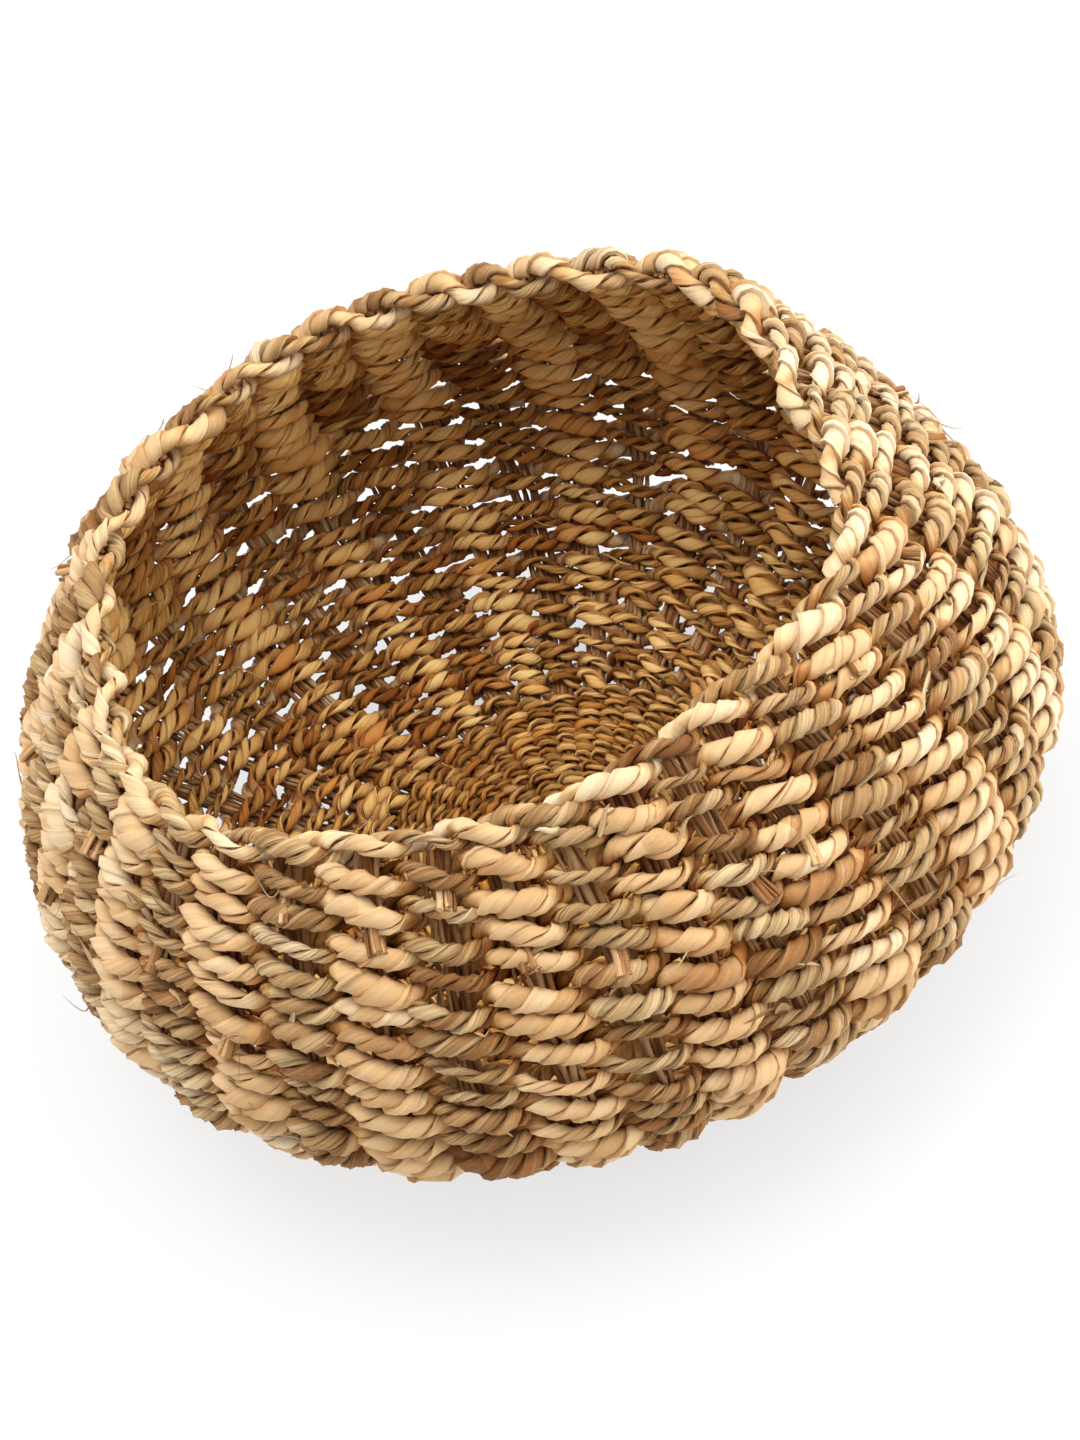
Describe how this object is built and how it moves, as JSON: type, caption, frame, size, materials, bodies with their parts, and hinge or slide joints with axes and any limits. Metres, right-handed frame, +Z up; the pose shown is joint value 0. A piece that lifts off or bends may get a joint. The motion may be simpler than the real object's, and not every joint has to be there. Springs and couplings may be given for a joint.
{
  "type": "storage basket",
  "caption": "Round-bellied open basket, pair-twined from two colours of seagrass cord over upright stakes.",
  "frame": {"origin": "on the ground, under the middle of the flat base", "axes": "+Z up, along the basket's axis out of the mouth; the basket is round, so X and Y are free"},
  "size_m": [0.3498, 0.3498, 0.1669],
  "materials": {
    "cream_seagrass": "matte dry leaf",
    "olive_seagrass": "matte dry leaf",
    "mixed_seagrass": "matte dry leaf",
    "inside_seagrass": "matte dry leaf, warmer than outside",
    "stem_bundle": "dry stems"
  },
  "bodies": {
    "root": {"outer_weave_foot": "mixed_seagrass", "inner_weave_foot": "inside_seagrass", "outer_weave_belly": "mixed_seagrass", "inner_weave_belly": "inside_seagrass", "outer_weave_shoulder": "mixed_seagrass", "inner_weave_shoulder": "inside_seagrass", "outer_weave_neck": "mixed_seagrass", "inner_weave_neck": "inside_seagrass", "base_underside": "mixed_seagrass", "base_inside": "olive_seagrass", "base_hub": "stem_bundle", "stake_01": "stem_bundle", "stake_02": "stem_bundle", "stake_03": "stem_bundle", "stake_04": "stem_bundle", "stake_05": "stem_bundle", "stake_06": "stem_bundle", "stake_07": "stem_bundle", "stake_08": "stem_bundle", "stake_09": "stem_bundle", "stake_10": "stem_bundle", "stake_11": "stem_bundle", "stake_12": "stem_bundle", "stake_13": "stem_bundle", "stake_14": "stem_bundle", "stake_15": "stem_bundle", "stake_16": "stem_bundle", "stake_17": "stem_bundle", "stake_18": "stem_bundle", "stake_19": "stem_bundle", "stake_20": "stem_bundle", "stake_21": "stem_bundle", "stake_22": "stem_bundle", "stake_23": "stem_bundle", "stake_24": "stem_bundle", "stake_25": "stem_bundle", "stake_26": "stem_bundle", "stake_27": "stem_bundle", "stake_28": "stem_bundle", "stake_29": "stem_bundle", "stake_30": "stem_bundle", "stake_31": "stem_bundle", "stake_32": "stem_bundle", "stake_33": "stem_bundle", "stake_34": "stem_bundle", "stake_35": "stem_bundle", "stake_36": "stem_bundle", "stake_37": "stem_bundle", "stake_38": "stem_bundle", "stake_39": "stem_bundle", "stake_40": "stem_bundle", "rim_cream_cord": "cream_seagrass", "rim_olive_cord": "olive_seagrass"}
  },
  "joints": []
}
